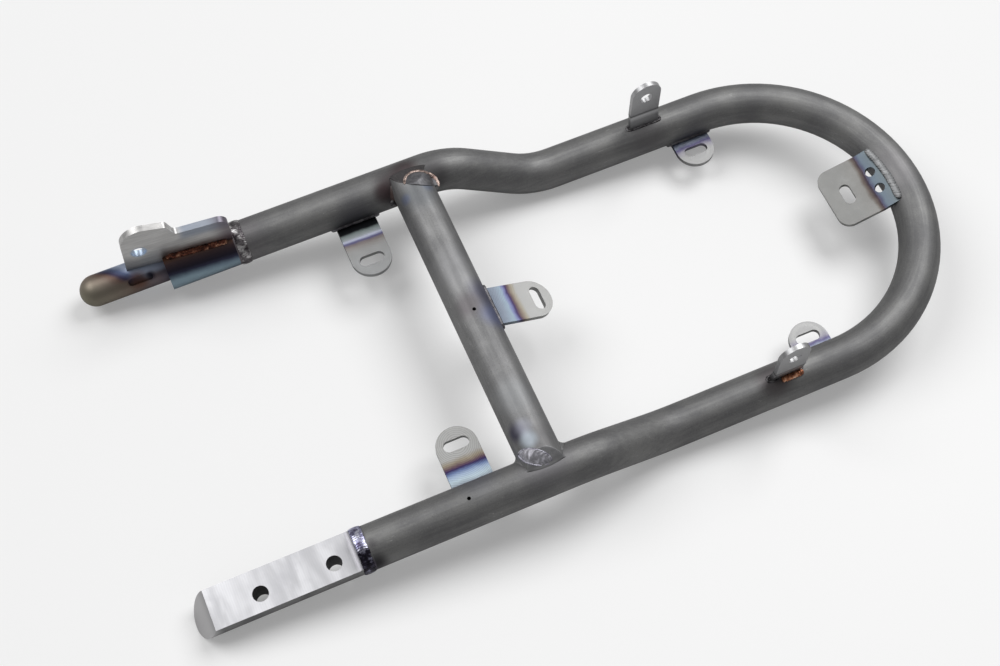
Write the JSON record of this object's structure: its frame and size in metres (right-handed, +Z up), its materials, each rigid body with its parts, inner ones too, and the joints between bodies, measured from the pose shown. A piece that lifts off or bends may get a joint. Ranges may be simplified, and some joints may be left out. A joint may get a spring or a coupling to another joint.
{
  "type": "motorcycle rear subframe",
  "caption": "Welded steel rear subframe for a motorcycle: one tube bent round into a hoop, a cross tube, slotted tabs, upright tabs, a hoop bracket and two front mounting slugs.",
  "frame": {"origin": "midway between the two front ends of the bent tube, at the height of the front rails' axes", "axes": "+X rearwards along the rails to the hoop, +Y to the right rail, +Z up"},
  "size_m": [0.5116, 0.2346, 0.0941],
  "materials": {
    "tube": "bare drawn tube, streaked",
    "slug": "turned and milled, heat tinted",
    "plate": "ground plate, heat tinted",
    "weld": "rippled bead, heat tinted"
  },
  "bodies": {
    "root": {"hoop_tube": "tube", "cross_tube": "tube", "left_mount_slug": "slug", "right_mount_slug": "slug", "right_saddle": "slug", "right_mount_tab": "plate", "front_left_tab": "plate", "front_right_tab": "plate", "cross_tab": "plate", "left_upright_tab": "plate", "right_upright_tab": "plate", "rear_left_tab": "plate", "rear_right_tab": "plate", "hoop_bracket": "plate", "left_slug_weld": "weld", "right_slug_weld": "weld", "cross_left_weld": "weld", "cross_right_weld": "weld", "right_mount_tab_weld": "weld", "front_left_tab_weld": "weld", "front_right_tab_weld": "weld", "cross_tab_weld": "weld", "left_upright_weld": "weld", "right_upright_weld": "weld", "rear_left_tab_weld": "weld", "rear_right_tab_weld": "weld", "hoop_bracket_weld": "weld"}
  },
  "joints": []
}
